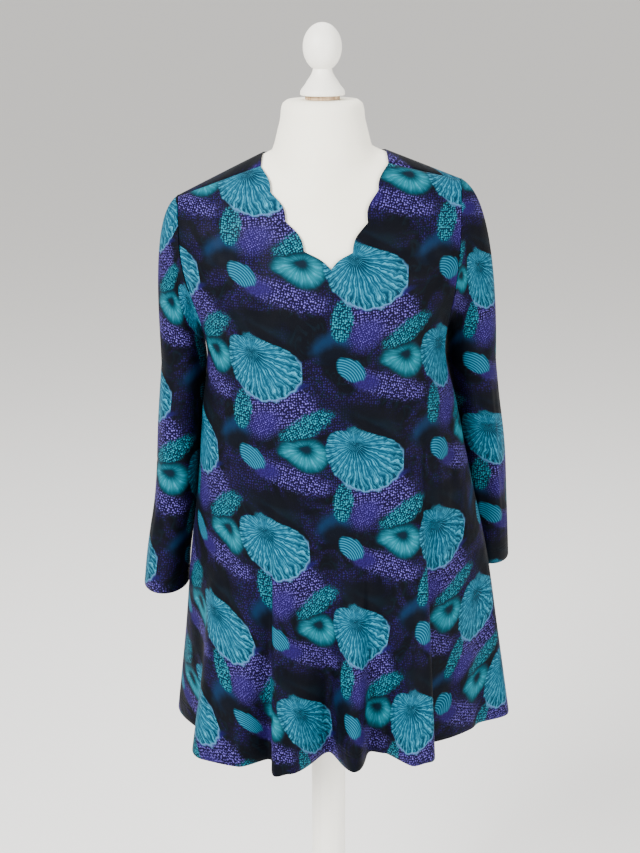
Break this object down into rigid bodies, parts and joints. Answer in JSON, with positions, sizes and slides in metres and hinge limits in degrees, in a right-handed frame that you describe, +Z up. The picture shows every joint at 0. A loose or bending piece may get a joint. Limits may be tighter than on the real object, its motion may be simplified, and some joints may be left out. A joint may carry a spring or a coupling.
{
  "type": "tunic top on dress form",
  "caption": "Printed A-line jersey tunic with scalloped V neck and set-in sleeves, worn by a limbless dress form on a pole and round base.",
  "frame": {"origin": "middle of the base's underside, on the pole's axis, on the floor", "axes": "+Z up along the pole, the front of the tunic faces -Y, +X is on the right of a viewer in front"},
  "size_m": [0.555, 0.4314, 1.5873],
  "materials": {
    "jersey_print": "smooth printed jersey, soft sheen",
    "form_jersey": "fine plain cream jersey, matt",
    "bare_wood": "bare turned wood, matt",
    "painted_wood": "off-white satin paint"
  },
  "bodies": {
    "root": {"tunic_front": "jersey_print", "tunic_back": "jersey_print", "sleeve_left": "jersey_print", "sleeve_right": "jersey_print", "form_torso": "form_jersey", "neck_disc": "bare_wood", "finial": "painted_wood", "stand_pole": "painted_wood", "stand_base": "painted_wood"}
  },
  "joints": []
}
